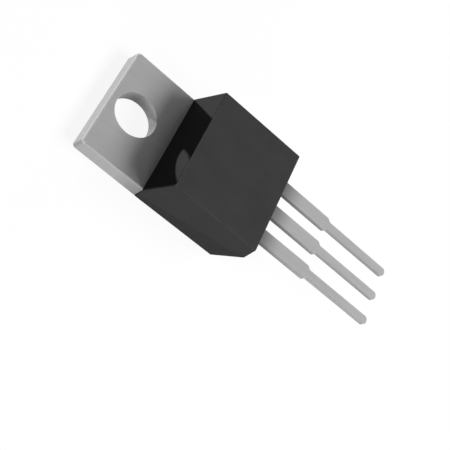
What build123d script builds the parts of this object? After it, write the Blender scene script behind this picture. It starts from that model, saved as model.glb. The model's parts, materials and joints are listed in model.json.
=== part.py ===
from build123d import *
import os

# A three-lead voltage regulator in a flat moulded power package, lying on its back.
# All lengths are in millimetres. The origin is the centre of the tab's hole on the tab's back face.
# +Y runs towards the free end of the tab, the leads point along -Y, and +Z faces out of the front.

# Heat tab, and the pad that carries it on inside the resin
tab_side_step = 0.05
tab_thickness = 1.32
hole_diameter = 3.75
hole_to_tab_end = 2.62
hole_to_body = 3.45
tab_end_lean_angle = 7
tab_corner_radius = 0.3
tab_edge_radius = 0.16
pad_side_cover = 1.1
pad_end_cover = 2.7
lock_ledge_width = 0.35
lock_ledge_height = 0.6

# Moulded body: two drafted halves that meet on a parting plane that climbs towards the leads
body_width = 10.1
body_height = 4.6
body_length = 9.36
end_face_setback = 1.02
front_lead_setback = 0.17
back_lead_setback = 1.38
tab_parting_height = 0.45
front_draft_angle = 0.7
back_draft_angle = 3.5
body_edge_radius = 0.12

# Leads, and the neck that takes the middle one down to the pad
lead_pitch = 2.54
lead_thickness = 0.38
lead_base_height = 2.84
lead_shoulder_width = 1.27
lead_shoulder_length = 5.3
lead_taper_length = 0.3
lead_width = 0.76
lead_length = 12.4
lead_tip_share = 0.4
neck_cover = 0.9
neck_foot = 0.55
neck_bend_radius = 0.45
post_cover = 0.6
post_width = 2.2
post_length = 1.5

# Chip, solder and bond wires
die_width = 2.4
die_length = 2.0
die_thickness = 0.28
die_to_pad_end = 2.3
solder_thickness = 0.05
solder_margin = 0.15
wire_diameter = 0.25
wire_foot_length = 0.55
wire_foot_width = 0.36
wire_foot_height = 0.14
ground_weld_gap = 1.1
ground_loop_rise = 0.55
bond_pad_x_share = 0.3
bond_pad_y_share = 0.25
loop_height_share = 0.4
loop_rise_share = 0.3
loop_fall_share = 0.8
loop_radius_share = 0.18

# Widths, places along Y and heights that follow from the sizes above
tab_width = body_width - 2 * tab_side_step
pad_width = body_width - 2 * pad_side_cover
body_foot_y = -hole_to_body
body_end_y = body_foot_y - body_length
pad_end_y = body_end_y + pad_end_cover
post_outer_y = body_end_y + post_cover
shoulder_end_y = body_end_y - lead_shoulder_length
taper_end_y = shoulder_end_y - lead_taper_length
lead_tip_y = body_end_y - lead_length
lead_top = lead_base_height + lead_thickness
die_y = pad_end_y + die_to_pad_end
die_base = tab_thickness + solder_thickness
die_top = die_base + die_thickness
on_base = (Align.CENTER, Align.CENTER, Align.MIN)
on_base_from_foot = (Align.CENTER, Align.MAX, Align.MIN)


def tab_plate():
    """The bare end of the tab: a leaning sheared end, rounded corners, a rolled front edge and the hole."""
    foot = (Align.CENTER, Align.MIN, Align.MIN)
    blank = Box(tab_width, hole_to_tab_end + hole_to_body, tab_thickness, align=foot)
    blank = Pos(0, body_foot_y) * draft(blank.faces().sort_by(Axis.Y)[-1:], Plane.XY, tab_end_lean_angle)
    corners = blank.faces().sort_by(Axis.Y)[-1].edges().sort_by(Axis.X)
    plate = fillet([corners[0], corners[-1]], tab_corner_radius)
    front_edges = plate.faces().sort_by(Axis.Z)[-1].edges().sort_by(Axis.Y)
    plate = fillet(front_edges[1:], tab_edge_radius)
    return plate - Cylinder(hole_diameter / 2, tab_thickness, align=on_base)


def pad():
    """The tab inside the resin, narrower at the back so that the resin grips under its ledges."""
    length = body_foot_y - pad_end_y
    core = Box(pad_width, length, tab_thickness, align=on_base_from_foot)
    ledge = Box(pad_width + 2 * lock_ledge_width, length, lock_ledge_height, align=on_base_from_foot)
    return Pos(0, body_foot_y) * (core + Pos(0, 0, tab_thickness - lock_ledge_height) * ledge)


def neck():
    """The bent strip that joins the middle lead to the pad."""
    lead_mid = lead_base_height + lead_thickness / 2
    pad_mid = tab_thickness / 2
    path = FilletPolyline(
        (body_end_y, lead_mid),
        (body_end_y + neck_cover, lead_mid),
        (pad_end_y - neck_foot, pad_mid),
        (pad_end_y, pad_mid),
        radius=neck_bend_radius,
    )
    strip = Plane.YZ * trace(path, lead_thickness)
    return extrude(strip, lead_shoulder_width / 2, both=True)


def lead_blade(inner_y):
    """A flat lead from inner_y out to its tip, with its wide shoulder and rounded tip."""
    right_side = [
        (lead_shoulder_width / 2, inner_y),
        (lead_shoulder_width / 2, shoulder_end_y),
        (lead_width / 2, taper_end_y),
        (lead_width / 2, lead_tip_y),
    ]
    left_side = [(-x, y) for x, y in reversed(right_side)]
    outline = make_face(Polyline(*right_side, *left_side, close=True))
    outline = fillet(outline.vertices().group_by(Axis.Y)[0], lead_tip_share * lead_width)
    return Pos(0, 0, lead_base_height) * extrude(outline, lead_thickness, dir=(0, 0, 1))


def tab_and_ground_lead():
    """Tab, pad, neck and middle lead, stamped and bent from one strip."""
    return tab_plate() + pad() + neck() + lead_blade(body_end_y)


def outer_lead(side):
    """An outer lead, on the side -1 or 1, with the bond post that it ends in inside the resin."""
    foot = (Align.CENTER, Align.MIN, Align.MIN)
    post = Pos(0, post_outer_y, lead_base_height) * Box(post_width, post_length, lead_thickness, align=foot)
    return Pos(side * lead_pitch) * (post + lead_blade(post_outer_y))


def die_attach_solder():
    """The thin layer of solder under the chip, a little wider than it."""
    width = die_width + 2 * solder_margin
    length = die_length + 2 * solder_margin
    return Pos(0, die_y, tab_thickness) * Box(width, length, solder_thickness, align=on_base)


def regulator_die():
    """The silicon chip."""
    return Pos(0, die_y, die_base) * Box(die_width, die_length, die_thickness, align=on_base)


def bond_wire(start, end, loop_height, start_piece, end_piece):
    """A round wire looped from start to end, each end pressed into a flat weld foot."""
    radius = wire_diameter / 2
    run = Vector(end.X - start.X, end.Y - start.Y, 0)
    span = run.length
    path = FilletPolyline(
        (0, -radius),
        (loop_rise_share * span, loop_height - start.Z),
        (loop_fall_share * span, loop_height - start.Z),
        (span, end.Z - start.Z - radius),
        radius=loop_radius_share * span,
    )
    path = Plane(start, x_dir=run, z_dir=run.cross(Vector(0, 0, 1))) * path
    wire = sweep(Plane(path @ 0, z_dir=path % 0) * Circle(radius), path)
    wire = wire - start_piece - end_piece
    for place in (start, end):
        foot = Box(wire_foot_length, wire_foot_width, wire_foot_height, align=on_base)
        wire = wire + Plane(place, x_dir=run, z_dir=(0, 0, 1)) * foot
    return wire


def lead_bond_wire(side, die, lead):
    """The wire from the chip to the bond post of the lead on the side -1 or 1."""
    start = Vector(side * bond_pad_x_share * die_width, die_y - bond_pad_y_share * die_length, die_top)
    end = Vector(side * lead_pitch, post_outer_y + post_length / 2, lead_top)
    loop_height = lead_top + loop_height_share * (body_height - lead_top)
    return bond_wire(start, end, loop_height, die, lead)


def ground_bond_wire(die, tab):
    """The short wire from the chip down to the pad beside it."""
    start = Vector(0, die_y + bond_pad_y_share * die_length, die_top)
    end = Vector(0, die_y + die_length / 2 + ground_weld_gap, tab_thickness)
    return bond_wire(start, end, die_top + ground_loop_rise, die, tab)


def drafted_half(side_profile, parting_plane, draft_angle):
    """One half of the moulding: its side profile, drawn across the width and drafted at the sides."""
    block = extrude(Plane.YZ * make_face(Polyline(*side_profile, close=True)), body_width / 2, both=True)
    sides = block.faces().filter_by(Axis.X)
    return draft(sides, parting_plane, draft_angle)


def is_upright(edge):
    """True for an edge that runs mostly from back to front."""
    size = edge.bounding_box().size
    return size.Z > max(size.X, size.Y)


def body_outside():
    """The outer form of the moulding, with its corners and the rim of its front face rounded."""
    tab_parting = (body_foot_y, tab_parting_height)
    lead_parting = (body_end_y, lead_base_height)
    front_profile = [
        tab_parting,
        (body_foot_y, tab_thickness),
        (body_foot_y - end_face_setback, body_height),
        (body_end_y + front_lead_setback, body_height),
        lead_parting,
    ]
    back_profile = [tab_parting, lead_parting, (body_end_y + back_lead_setback, 0), (body_foot_y, 0)]
    along_parting = Vector(0, body_length, tab_parting_height - lead_base_height)
    parting_normal = Vector(1, 0, 0).cross(along_parting)
    front_plane = Plane((0, *lead_parting), x_dir=(1, 0, 0), z_dir=parting_normal)
    back_plane = Plane((0, *lead_parting), x_dir=(1, 0, 0), z_dir=-parting_normal)
    front_half = drafted_half(front_profile, front_plane, front_draft_angle)
    back_half = drafted_half(back_profile, back_plane, back_draft_angle)
    outside = front_half + back_half
    front_rim = outside.faces().sort_by(Axis.Z)[-1].edges()
    return fillet(front_rim + outside.edges().filter_by(is_upright), body_edge_radius)


def moulded_body(held_pieces):
    """The resin, closed face to face round every piece that it holds."""
    resin = body_outside()
    for piece in held_pieces:
        resin = resin - piece
    return resin


def build_parts():
    """Every sub-part, by name."""
    tab = tab_and_ground_lead()
    die = regulator_die()
    input_lead = outer_lead(-1)
    output_lead = outer_lead(1)
    parts = {
        "tab_and_ground_lead": tab,
        "input_lead": input_lead,
        "output_lead": output_lead,
        "die_attach_solder": die_attach_solder(),
        "regulator_die": die,
        "input_bond_wire": lead_bond_wire(-1, die, input_lead),
        "output_bond_wire": lead_bond_wire(1, die, output_lead),
        "ground_bond_wire": ground_bond_wire(die, tab),
    }
    parts["moulded_body"] = moulded_body(list(parts.values()))
    return parts


os.makedirs("parts", exist_ok=True)
for name, part in build_parts().items():
    export_step(part, f"parts/{name}.step")
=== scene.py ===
import json
import math

import bmesh
import bpy
from mathutils import Matrix, Vector


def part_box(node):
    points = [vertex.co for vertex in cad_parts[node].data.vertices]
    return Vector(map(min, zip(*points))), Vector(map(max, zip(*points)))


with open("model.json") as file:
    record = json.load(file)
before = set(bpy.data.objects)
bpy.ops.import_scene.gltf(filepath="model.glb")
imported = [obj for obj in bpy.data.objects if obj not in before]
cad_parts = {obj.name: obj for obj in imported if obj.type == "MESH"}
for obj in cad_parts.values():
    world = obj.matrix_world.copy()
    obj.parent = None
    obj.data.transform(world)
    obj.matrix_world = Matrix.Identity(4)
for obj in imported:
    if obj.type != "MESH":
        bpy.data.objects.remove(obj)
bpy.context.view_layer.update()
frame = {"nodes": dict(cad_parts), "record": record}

# Blender counts in metres. Names that end in _MM hold millimetres, and names that end in _DEG degrees.
# The origin is the middle of the hole on the flat back. The tab ends towards +Y and the front looks to +Z.
MM = 0.001

# Camera: where it stands, what it looks at, and how far it is rolled anticlockwise.
CAMERA_PLACE_MM = (-43.0619, 13.8929, 59.817)
CAMERA_AIM_MM = (-3.1825, -10.4901, 2.0)
CAMERA_ROLL_DEG = 64.72
CAMERA_LENS_MM = 75.888
CAMERA_SENSOR_MM = 36.0
CAMERA_NEAR_MM = 1.0

# Lamps: levels are shares of the light at which a surface shows its own colour. A soft lamp stands towards
# a direction from the lit centre, and reaches so many degrees across and high from its own middle.
LIT_CENTRE_MM = (0.0, -9.0, 2.0)
LAMP_DISTANCE_MM = 400.0
SOFT_LAMPS = {
    "front_lamp": {"towards": (0.0, -0.755, 0.655), "level": 1.33, "across_deg": 31.0, "high_deg": 10.5},
    "left_lamp": {"towards": (-0.975, -0.2, 0.095), "level": 0.82, "across_deg": 9.0, "high_deg": 9.0},
    "right_lamp": {"towards": (0.975, -0.2, 0.095), "level": 0.45, "across_deg": 9.0, "high_deg": 9.0},
}
BACK_LAMP_TOWARDS = (0.47, 0.615, -0.53)
BACK_LAMP_LEVEL = 2.1
BACK_LAMP_SPREAD_DEG = 2.0

# Room: its walls are white and fade into a greyer ceiling. Heights are sines of angles above the horizon.
AMBIENT_LEVEL = 0.03
CEILING_LEVEL = 0.2
WALL_TOP_HEIGHT = 0.35
CEILING_HEIGHT = 0.7

FLOOR_RADIUS_MM = 2000.0
FLOOR_SIDES = 96
FLOOR_SHADOW_SHARE = 0.1

# Values between which nearly all noise lies.
NOISE_RANGE = (0.3, 0.7)

# Rounded rims towards the tab's end: how far their normals have turned from the wall and from the front
# where the look of the rim starts and where it is full.
RIM_OFF_WALL = (0.05, 0.2)
RIM_OFF_FRONT = (0.02, 0.12)

# Moulding resin: patterns, linear greys, the lean of its end face and the height of its parting plane.
# The back half's grey is painted shade, and the rim's grey a painted highlight.
RESIN_MOTTLE = {"per_mm": (0.5, 0.5, 0.5), "detail": 3.0}
RESIN_GRAINS = {"per_mm": (11.0, 11.0, 11.0), "detail": 1.0}
RESIN_GRAIN_RANGE = (0.66, 0.74)
RESIN_SKIN = {"per_mm": (7.0, 7.0, 7.0), "detail": 4.0, "roughness": 0.6}
RESIN_RELIEF = {"depth_mm": 0.006, "strength": 0.4}
RESIN_DARK_GREY = 0.042
RESIN_PALE_GREY = 0.0475
RESIN_BACK_PAINTED_SHADE_GREY = 0.037
RESIN_RIM_PAINTED_HIGHLIGHT_GREY = 0.085
RESIN_GRAIN_GREY = 0.06
RESIN_ROUGHNESS = (0.6, 0.7)
RESIN_GLOSS = 0.02
RESIN_END_LEAN_DEG = 17.3
PARTING_HEIGHT_AT_TAB_MM = 0.45

# Plated copper: patterns and linear greys of its rolled faces and its stamped walls.
ROLLED_GRAIN = {"per_mm": (7.0, 0.25, 7.0), "detail": 3.0}
ROLLED_GREYS = (0.51, 0.56)
ROLLED_CLOUD = {"per_mm": (0.6, 0.4, 0.6), "detail": 2.0}
ROLLED_CLOUD_RANGE = (0.35, 0.7)
ROLLED_CLOUD_SHARE = 0.3
ROLLED_CLOUD_GREY = 0.49
STAMPED_STREAKS = {"per_mm": (6.0, 6.0, 0.3), "detail": 3.0}
STAMPED_STREAK_SHARE = 0.5
STAMPED_GREYS = (0.51, 0.55)
# The rim's grey is a painted highlight, paler than the metal.
METAL_RIM_PAINTED_HIGHLIGHT_GREY = 0.82
# The shade grey is the dark grey that painted shade near the resin fades to.
METAL_SHADE_GREY = 0.02
METAL_ROUGHNESS = (0.45, 0.55)
METAL_RELIEF = {"depth_mm": 0.004, "strength": 0.4}
METAL_SHINE = 0.4
RIM_SHINE = 1.0
RIM_SHINE_RANGE = (0.3, 0.5)
TAB_END_LEAN_DEG = 7.0

# How far a normal points to the front or back where a face counts as rolled, and where as a stamped wall.
ROLLED_FACING = 0.75
STAMPED_FACING = 0.35

# The material softens the edges of the stamped metal that the CAD leaves sharp.
EDGE_RADIUS_MM = 0.04
EDGE_SAMPLES = 6

# Painted shade on the metal: shares of its own grey at the start and the end of a stretch, darker where the
# leads and the walls of leads and tab meet the resin, and towards both ends of the hole's wall. TAB_TONE
# darkens the whole tab a little. Stretches of the leads and the tab are measured outwards from the resin,
# and those of the hole along Y from its axis. The look of the leads goes on a little way into the resin.
LEAD_LOOK_DEPTH_MM = 0.2
LEAD_PAINTED_SHADE = {"start_mm": -LEAD_LOOK_DEPTH_MM, "end_mm": 2.6, "at_start": 0.25, "at_end": 1.0}
LEAD_WALL_PAINTED_SHADE = {"start_mm": 0.0, "end_mm": 5.5, "at_start": 0.4, "at_end": 0.77}
TAB_TONE = 0.94
TAB_WALL_PAINTED_SHADE = {"start_mm": 0.15, "end_mm": 2.25, "at_start": 0.52, "at_end": 0.88}
HOLE_LEAD_SIDE_PAINTED_SHADE = {"start_mm": -1.72, "end_mm": -1.4, "at_start": 0.53, "at_end": 1.0}
HOLE_TAB_SIDE_PAINTED_SHADE = {"start_mm": -0.9, "end_mm": 0.35, "at_start": 1.0, "at_end": 0.42}
HOLE_MARGIN_MM = 0.125

# Materials of the pieces inside the resin, each of one pattern.
SILICON = {
    "pattern": {"per_mm": (1.0, 30.0, 1.0), "detail": 2.0},
    "greys": (0.17, 0.22),
    "grey_range": (0.35, 0.65),
    "shine": 0.4,
    "roughness": (0.22, 0.34),
    "relief": {"depth_mm": 0.002, "strength": 0.3},
}
SOLDER = {
    "pattern": {"per_mm": (9.0, 9.0, 9.0), "detail": 4.0},
    "greys": (0.4, 0.55),
    "grey_range": NOISE_RANGE,
    "shine": 1.0,
    "roughness": (0.4, 0.6),
    "relief": {"depth_mm": 0.006, "strength": 0.5},
}
BOND_WIRE = {
    "pattern": {"per_mm": (22.0, 2.0, 22.0), "detail": 2.0},
    "greys": (0.7, 0.8),
    "grey_range": NOISE_RANGE,
    "shine": 1.0,
    "roughness": (0.28, 0.42),
    "relief": {"depth_mm": 0.003, "strength": 0.4},
}

# Sockets of the mix node, which has a set for numbers and a set for colours: share, first and second.
NUMBER_MIX_INPUTS = (0, 2, 3)
NUMBER_MIX_OUTPUT = 0
COLOUR_MIX_INPUTS = (0, 6, 7)
COLOUR_MIX_OUTPUT = 2

# Places in the frame, in metres.
body_low, body_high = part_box("moulded_body")
lead_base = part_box("input_lead")[0].z
mounts = {mount["name"]: mount for mount in frame["record"]["mounts"]}
hole_radius = mounts["mounting_hole"]["dims"]["r_mm"] * MM


def grey(level):
    """A grey of that linear level."""
    return (level, level, level, 1.0)


class Nodes:
    """Short ways to add nodes to a material or a world."""

    def __init__(self, tree):
        self.tree = tree
        self.coordinates = self.node("ShaderNodeTexCoord").outputs

    def node(self, kind, inputs=None, **settings):
        """Adds a node. Each input is a number, a vector, a colour or another node's output."""
        made = self.tree.nodes.new(kind)
        for name, value in settings.items():
            setattr(made, name, value)
        for name, value in (inputs or {}).items():
            self.put(made, name, value)
        return made

    def put(self, node, name, value):
        """Sets an input of a node, or links an output to it."""
        if isinstance(value, bpy.types.NodeSocket):
            self.tree.links.new(value, node.inputs[name])
        else:
            node.inputs[name].default_value = value

    def split(self, vector):
        """The parts of a vector, called X, Y and Z."""
        return self.node("ShaderNodeSeparateXYZ", {"Vector": vector}).outputs

    def noise(self, per_mm, detail, roughness=0.5):
        """Noise with so many features in a millimetre along x, y and z."""
        scale = [count / MM for count in per_mm]
        place = self.node("ShaderNodeMapping", {"Vector": self.coordinates["Object"], "Scale": scale})
        inputs = {"Vector": place.outputs["Vector"], "Scale": 1.0, "Detail": detail, "Roughness": roughness}
        return self.node("ShaderNodeTexNoise", inputs).outputs["Fac"]

    def between(self, value, low, high, out_low=0.0, out_high=1.0, **settings):
        """Maps low..high to out_low..out_high, held at both ends."""
        inputs = {"Value": value, "From Min": low, "From Max": high, "To Min": out_low, "To Max": out_high}
        return self.node("ShaderNodeMapRange", inputs, **settings).outputs["Result"]

    def math(self, operation, first, second=0.0):
        """One sum on two numbers."""
        return self.node("ShaderNodeMath", {0: first, 1: second}, operation=operation).outputs["Value"]

    def vector_math(self, operation, first, second=(0.0, 0.0, 0.0)):
        """One sum on two vectors, whose result is called Vector or Value."""
        return self.node("ShaderNodeVectorMath", {0: first, 1: second}, operation=operation).outputs

    def blend(self, share, first, second):
        """A number part of the way from the first to the second."""
        inputs = dict(zip(NUMBER_MIX_INPUTS, (share, first, second)))
        return self.node("ShaderNodeMix", inputs, data_type="FLOAT").outputs[NUMBER_MIX_OUTPUT]

    def mix(self, share, first, second):
        """A colour part of the way from the first to the second."""
        inputs = dict(zip(COLOUR_MIX_INPUTS, (share, first, second)))
        return self.node("ShaderNodeMix", inputs, data_type="RGBA").outputs[COLOUR_MIX_OUTPUT]

    def bump(self, height, depth_mm, strength, normal=None):
        """A normal tilted by a height map of the given depth."""
        inputs = {"Height": height, "Distance": depth_mm * MM, "Strength": strength}
        if normal is not None:
            inputs["Normal"] = normal
        return self.node("ShaderNodeBump", inputs).outputs["Normal"]


class Shader(Nodes):
    """A material with one surface shader."""

    def __init__(self, name):
        self.material = bpy.data.materials.new(name)
        self.material.use_nodes = True
        self.surface = self.material.node_tree.nodes["Principled BSDF"]
        super().__init__(self.material.node_tree)

    def set(self, **inputs):
        """Sets inputs of the surface shader, with _ for each space in their names."""
        for name, value in inputs.items():
            self.put(self.surface, name.replace("_", " "), value)

    def end_rim(self, lean_deg):
        """1 on the rounded rim between a front and a wall that leans back from the tab's end, else 0."""
        normal = self.split(self.coordinates["Normal"])
        wall_tilt = math.sin(math.radians(lean_deg))
        off_wall = self.between(normal["Z"], *(wall_tilt + turn for turn in RIM_OFF_WALL))
        off_front = self.between(normal["Y"], *RIM_OFF_FRONT)
        return self.math("MULTIPLY", off_wall, off_front)

    def tone(self, distance, start_mm, end_mm, at_start, at_end, **settings):
        """A share that changes over a stretch of a distance."""
        return self.between(distance, start_mm * MM, end_mm * MM, at_start, at_end, **settings)


def resin_back_half(shader):
    """1 on the back half of the moulding, under the slanted parting plane, and 0 on the front half."""
    height_at_tab = PARTING_HEIGHT_AT_TAB_MM * MM
    slope = (lead_base - height_at_tab) / (body_high.y - body_low.y)
    across_plane = (0.0, slope, 1.0)
    height = shader.vector_math("DOT_PRODUCT", shader.coordinates["Object"], across_plane)["Value"]
    return shader.math("LESS_THAN", height, height_at_tab + slope * body_high.y)


def moulding_resin():
    """Black epoxy with pale filler grains and the fine matt skin of a spark-eroded mould, with painted
    shade on its back half and a painted highlight on the rim of its end face.
    """
    shader = Shader("moulding_resin")
    mottle = shader.between(shader.noise(**RESIN_MOTTLE), *NOISE_RANGE)
    ground = shader.mix(mottle, grey(RESIN_DARK_GREY), grey(RESIN_PALE_GREY))
    # Painted shade: the back half, under the parting plane, is darker.
    ground = shader.mix(resin_back_half(shader), ground, grey(RESIN_BACK_PAINTED_SHADE_GREY))
    # Painted highlight: the rounded rim of the end face is paler.
    ground = shader.mix(shader.end_rim(RESIN_END_LEAN_DEG), ground, grey(RESIN_RIM_PAINTED_HIGHLIGHT_GREY))
    grains = shader.between(shader.noise(**RESIN_GRAINS), *RESIN_GRAIN_RANGE)
    shader.set(Base_Color=shader.mix(grains, ground, grey(RESIN_GRAIN_GREY)))
    shader.set(Roughness=shader.blend(mottle, *RESIN_ROUGHNESS))
    shader.set(Specular_IOR_Level=RESIN_GLOSS)
    shader.set(Normal=shader.bump(shader.noise(**RESIN_SKIN), **RESIN_RELIEF))
    return shader.material


def rolled_colour(shader, grain):
    """The rolled faces: a grain along the leads, with darker clouds."""
    rolled = shader.mix(shader.between(grain, *NOISE_RANGE), *map(grey, ROLLED_GREYS))
    cloud = shader.between(shader.noise(**ROLLED_CLOUD), *ROLLED_CLOUD_RANGE, out_high=ROLLED_CLOUD_SHARE)
    return shader.mix(cloud, rolled, grey(ROLLED_CLOUD_GREY))


def stamped_colour(shader, streaks, tone):
    """The stamped walls: streaks through the strip, darkened by painted shade."""
    stamped = shader.mix(shader.between(streaks, *NOISE_RANGE), *map(grey, STAMPED_GREYS))
    return shader.mix(tone, grey(0.0), stamped)


def hole_painted_shade(shader, along):
    """Painted shade on the hole's wall, which darkens towards the leads and towards the tab's end."""
    lead_side = shader.tone(along, **HOLE_LEAD_SIDE_PAINTED_SHADE)
    tab_side = shader.tone(along, **HOLE_TAB_SIDE_PAINTED_SHADE)
    return shader.math("MINIMUM", lead_side, tab_side)


def metal_painted_shades(shader):
    """Painted shade of all the metal towards the resin, with the tab a little darker, and the further
    painted shade of its stamped walls and of the hole's wall.

    Metal deeper in the resin than the look of the leads counts as tab.
    """
    place = shader.coordinates["Object"]
    along = shader.split(place)["Y"]
    out_of_leads_end = shader.math("SUBTRACT", body_low.y, along)
    out_of_tab_end = shader.math("SUBTRACT", along, body_high.y)
    # Painted shade: darker towards the resin on the leads, on their walls and on the tab's walls.
    lead_painted_shade = shader.tone(out_of_leads_end, **LEAD_PAINTED_SHADE, interpolation_type="SMOOTHSTEP")
    lead_wall_painted_shade = shader.tone(out_of_leads_end, **LEAD_WALL_PAINTED_SHADE)
    tab_wall_painted_shade = shader.tone(out_of_tab_end, **TAB_WALL_PAINTED_SHADE)
    on_tab = shader.math("LESS_THAN", out_of_leads_end, -LEAD_LOOK_DEPTH_MM * MM)
    tone = shader.blend(on_tab, lead_painted_shade, TAB_TONE)
    wall_painted_shade = shader.blend(on_tab, lead_wall_painted_shade, tab_wall_painted_shade)
    flat_place = shader.vector_math("MULTIPLY", place, (1.0, 1.0, 0.0))["Vector"]
    from_axis = shader.vector_math("LENGTH", flat_place)["Value"]
    in_hole = shader.math("LESS_THAN", from_axis, hole_radius + HOLE_MARGIN_MM * MM)
    return tone, shader.blend(in_hole, wall_painted_shade, hole_painted_shade(shader, along))


def plated_copper():
    """Matt plated strip: rolled faces, stamped walls, softened edges, painted shade near the resin and in
    the hole, and a rim at the tab's end with real metal shine and a painted highlight.
    """
    shader = Shader("plated_copper")
    normal = shader.split(shader.coordinates["Normal"])
    wall = shader.between(shader.math("ABSOLUTE", normal["Z"]), ROLLED_FACING, STAMPED_FACING)
    grain = shader.noise(**ROLLED_GRAIN)
    streaks = shader.noise(**STAMPED_STREAKS)
    rim = shader.end_rim(TAB_END_LEAN_DEG)
    tone, wall_painted_shade = metal_painted_shades(shader)
    # The stamped walls carry painted shade near the resin and in the hole.
    bare = shader.mix(wall, rolled_colour(shader, grain), stamped_colour(shader, streaks, wall_painted_shade))
    # Painted highlight: the rim at the tab's end is paler, on top of its real metal shine.
    bare = shader.mix(rim, bare, grey(METAL_RIM_PAINTED_HIGHLIGHT_GREY))
    # Painted shade: towards the resin the leads fade to a dark grey, and the whole tab is a little darker.
    shader.set(Base_Color=shader.mix(tone, grey(METAL_SHADE_GREY), bare))
    shiny = shader.math("MULTIPLY", rim, shader.between(normal["Y"], *RIM_SHINE_RANGE))
    shader.set(Metallic=shader.blend(shiny, METAL_SHINE, RIM_SHINE))
    shader.set(Roughness=shader.between(grain, *NOISE_RANGE, *METAL_ROUGHNESS))
    relief = shader.blend(wall, grain, shader.math("MULTIPLY", streaks, STAMPED_STREAK_SHARE))
    edges = shader.node("ShaderNodeBevel", {"Radius": EDGE_RADIUS_MM * MM}, samples=EDGE_SAMPLES)
    shader.set(Normal=shader.bump(relief, **METAL_RELIEF, normal=edges.outputs["Normal"]))
    return shader.material


def one_pattern(name, pattern, greys, grey_range, shine, roughness, relief):
    """A material whose grey, roughness and relief all follow one noise."""
    shader = Shader(name)
    noise = shader.noise(**pattern)
    shader.set(Base_Color=shader.mix(shader.between(noise, *grey_range), *map(grey, greys)))
    shader.set(Metallic=shine)
    shader.set(Roughness=shader.between(noise, *NOISE_RANGE, *roughness))
    shader.set(Normal=shader.bump(noise, **relief))
    return shader.material


def silicon():
    """A diced chip: dark polished silicon with faint saw and polish lines."""
    return one_pattern("silicon", **SILICON)


def solder():
    """Dull grey solder with the grain of a slow set."""
    return one_pattern("solder", **SOLDER)


def bond_wire():
    """Drawn aluminium wire."""
    return one_pattern("bond_wire", **BOND_WIRE)


def dress_nodes():
    """Gives every CAD node the material of its slot in the record."""
    makers = (moulding_resin, plated_copper, silicon, solder, bond_wire)
    materials = {maker.__name__: maker() for maker in makers}
    for subpart in frame["record"]["subparts"]:
        mesh = frame["nodes"][subpart["node"]].data
        mesh.materials.clear()
        mesh.materials.append(materials[subpart["material_slot"]])


def seen_directly(shader):
    """1 for rays from the camera, a mirror or glass, and 0 for the light that falls on things."""
    path = shader.node("ShaderNodeLightPath").outputs
    seen = shader.math("MAXIMUM", path["Is Camera Ray"], path["Is Glossy Ray"])
    return shader.math("MAXIMUM", seen, path["Is Transmission Ray"])


def floor():
    """A wide white floor that shows as plain white and keeps a soft shadow."""
    mesh = bpy.data.meshes.new("floor")
    shape = bmesh.new()
    bmesh.ops.create_circle(shape, cap_ends=True, segments=FLOOR_SIDES, radius=FLOOR_RADIUS_MM * MM)
    shape.to_mesh(mesh)
    shape.free()
    piece = bpy.data.objects.new("floor", mesh)
    bpy.context.scene.collection.objects.link(piece)
    shader = Shader("floor")
    shader.set(Base_Color=grey(FLOOR_SHADOW_SHARE))
    shader.set(Roughness=1.0)
    shader.set(Specular_IOR_Level=0.0)
    shader.set(Emission_Color=grey(1.0 - FLOOR_SHADOW_SHARE))
    shader.set(Emission_Strength=seen_directly(shader))
    mesh.materials.append(shader.material)


def aimed(kind, name, place_mm, aim_mm):
    """A lamp or camera at a place, turned to look at a point."""
    piece = bpy.data.objects.new(name, kind)
    piece.location = Vector(place_mm) * MM
    piece.rotation_mode = "QUATERNION"
    piece.rotation_quaternion = (Vector(aim_mm) - Vector(place_mm)).to_track_quat("-Z", "Y")
    bpy.context.scene.collection.objects.link(piece)
    return piece


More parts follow.
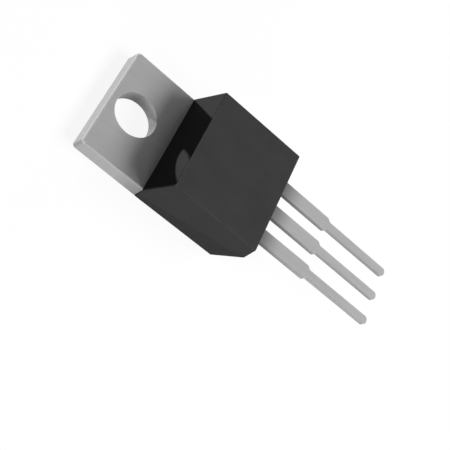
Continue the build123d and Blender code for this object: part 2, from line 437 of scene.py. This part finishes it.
def soft_lamp(name, towards, level, across_deg, high_deg):
    """A large oval lamp, as far across and high from its middle as those angles seen from the part.

    A wider oval of the same energy lights the part less, so its energy goes up with both angles.
    """
    lamp = bpy.data.lights.new(name, "AREA")
    lamp.shape = "ELLIPSE"
    distance = LAMP_DISTANCE_MM * MM
    across = math.radians(across_deg)
    high = math.radians(high_deg)
    lamp.size = 2 * distance * math.tan(across)
    lamp.size_y = 2 * distance * math.tan(high)
    lamp.energy = level * (math.pi * distance) ** 2 / (math.cos(across) * math.cos(high))
    place = Vector(LIT_CENTRE_MM) + LAMP_DISTANCE_MM * Vector(towards).normalized()
    piece = aimed(lamp, name, place, LIT_CENTRE_MM)
    piece.visible_glossy = False


def back_lamp():
    """A distant lamp low behind the tab, which shines past its side and through its hole onto the resin.

    It stands under the floor, so only the part takes and blocks its light.
    """
    lamp = bpy.data.lights.new("back_lamp", "SUN")
    lamp.energy = BACK_LAMP_LEVEL * math.pi
    lamp.angle = math.radians(BACK_LAMP_SPREAD_DEG)
    piece = aimed(lamp, "back_lamp", LAMP_DISTANCE_MM * Vector(BACK_LAMP_TOWARDS), (0.0, 0.0, 0.0))
    piece.visible_glossy = False
    part = bpy.data.collections.new("part")
    for node in frame["nodes"].values():
        part.objects.link(node)
    piece.light_linking.receiver_collection = part
    piece.light_linking.blocker_collection = part


def surroundings():
    """White walls and a greyer ceiling, which show in reflections and light the part only a little."""
    world = bpy.data.worlds.new("surroundings")
    bpy.context.scene.world = world
    world.use_nodes = True
    shader = Nodes(world.node_tree)
    height = shader.split(shader.coordinates["Generated"])["Z"]
    room = shader.between(height, WALL_TOP_HEIGHT, CEILING_HEIGHT, 1.0, CEILING_LEVEL)
    lighting = shader.math("SUBTRACT", 1.0, seen_directly(shader))
    background = world.node_tree.nodes["Background"]
    shader.put(background, "Color", grey(1.0))
    shader.put(background, "Strength", shader.blend(lighting, room, AMBIENT_LEVEL))


def camera():
    """The photo's view."""
    lens = bpy.data.cameras.new("camera")
    lens.sensor_width = CAMERA_SENSOR_MM
    lens.lens = CAMERA_LENS_MM
    lens.clip_start = CAMERA_NEAR_MM * MM
    piece = aimed(lens, "camera", CAMERA_PLACE_MM, CAMERA_AIM_MM)
    roll = Matrix.Rotation(math.radians(CAMERA_ROLL_DEG), 3, "Z").to_quaternion()
    piece.rotation_quaternion = piece.rotation_quaternion @ roll
    bpy.context.scene.camera = piece


dress_nodes()
floor()
surroundings()
for name, settings in SOFT_LAMPS.items():
    soft_lamp(name, **settings)
back_lamp()
camera()
bpy.context.scene.view_settings.view_transform = "Standard"
